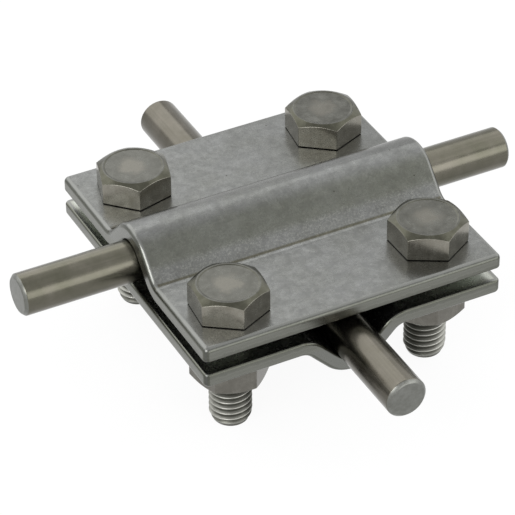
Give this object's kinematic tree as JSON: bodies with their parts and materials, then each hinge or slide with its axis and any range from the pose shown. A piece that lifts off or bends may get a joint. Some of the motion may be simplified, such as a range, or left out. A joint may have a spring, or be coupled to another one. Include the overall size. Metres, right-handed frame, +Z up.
{
  "type": "cross connector clamp",
  "caption": "Two pressed steel plates whose channels cross clamp two round conductors at right angles, drawn together by hex bolts and nuts at the corners.",
  "frame": {"origin": "centre of the square bolt pattern, in the plane of the nuts' lower faces, where the bolts' free ends stand out", "axes": "+X along the upper conductor and its channel, +Y along the lower conductor and its channel, +Z up along the bolts, from the tips towards the heads"},
  "size_m": [0.101, 0.101, 0.0317],
  "materials": {
    "plate_steel": "pressed stainless sheet, pickled to a mid grey with a fine mottled grain",
    "conductor_steel": "bright drawn stainless rod, smooth along its length",
    "fastener_steel": "cold-formed stainless, slightly darker and warmer than the plates"
  },
  "bodies": {
    "upper_jaw": {"upper_plate": "plate_steel", "front_left_bolt": "fastener_steel", "front_right_bolt": "fastener_steel", "back_left_bolt": "fastener_steel", "back_right_bolt": "fastener_steel"},
    "lower_jaw": {"lower_plate": "plate_steel", "upper_conductor": "conductor_steel", "lower_conductor": "conductor_steel"},
    "front_left_nut": {"front_left_nut": "fastener_steel"},
    "front_right_nut": {"front_right_nut": "fastener_steel"},
    "back_left_nut": {"back_left_nut": "fastener_steel"},
    "back_right_nut": {"back_right_nut": "fastener_steel"}
  },
  "joints": [
    {"name": "lower_jaw_slide", "type": "slide", "parent": "upper_jaw", "child": "lower_jaw", "axis": [0, 0, -1], "range_m": [0, 0.00875]},
    {"name": "front_left_nut_turn", "type": "hinge", "parent": "lower_jaw", "child": "front_left_nut", "pos_m": [-0.02074, -0.0207, 0.00325], "axis": [0, 0, -1], "range_deg": [0, 2520]},
    {"name": "front_right_nut_turn", "type": "hinge", "parent": "lower_jaw", "child": "front_right_nut", "pos_m": [0.02053, -0.01997, 0.00325], "axis": [0, 0, -1], "range_deg": [0, 2520]},
    {"name": "back_left_nut_turn", "type": "hinge", "parent": "lower_jaw", "child": "back_left_nut", "pos_m": [-0.02004, 0.02013, 0.00325], "axis": [0, 0, -1], "range_deg": [0, 2520]},
    {"name": "back_right_nut_turn", "type": "hinge", "parent": "lower_jaw", "child": "back_right_nut", "pos_m": [0.02073, 0.02071, 0.00325], "axis": [0, 0, -1], "range_deg": [0, 2520]}
  ],
  "couplings": [
    {"joint": "front_left_nut_turn", "follows": "lower_jaw_slide", "rad_per_m": 5026.5},
    {"joint": "front_right_nut_turn", "follows": "lower_jaw_slide", "rad_per_m": 5026.5},
    {"joint": "back_left_nut_turn", "follows": "lower_jaw_slide", "rad_per_m": 5026.5},
    {"joint": "back_right_nut_turn", "follows": "lower_jaw_slide", "rad_per_m": 5026.5}
  ]
}
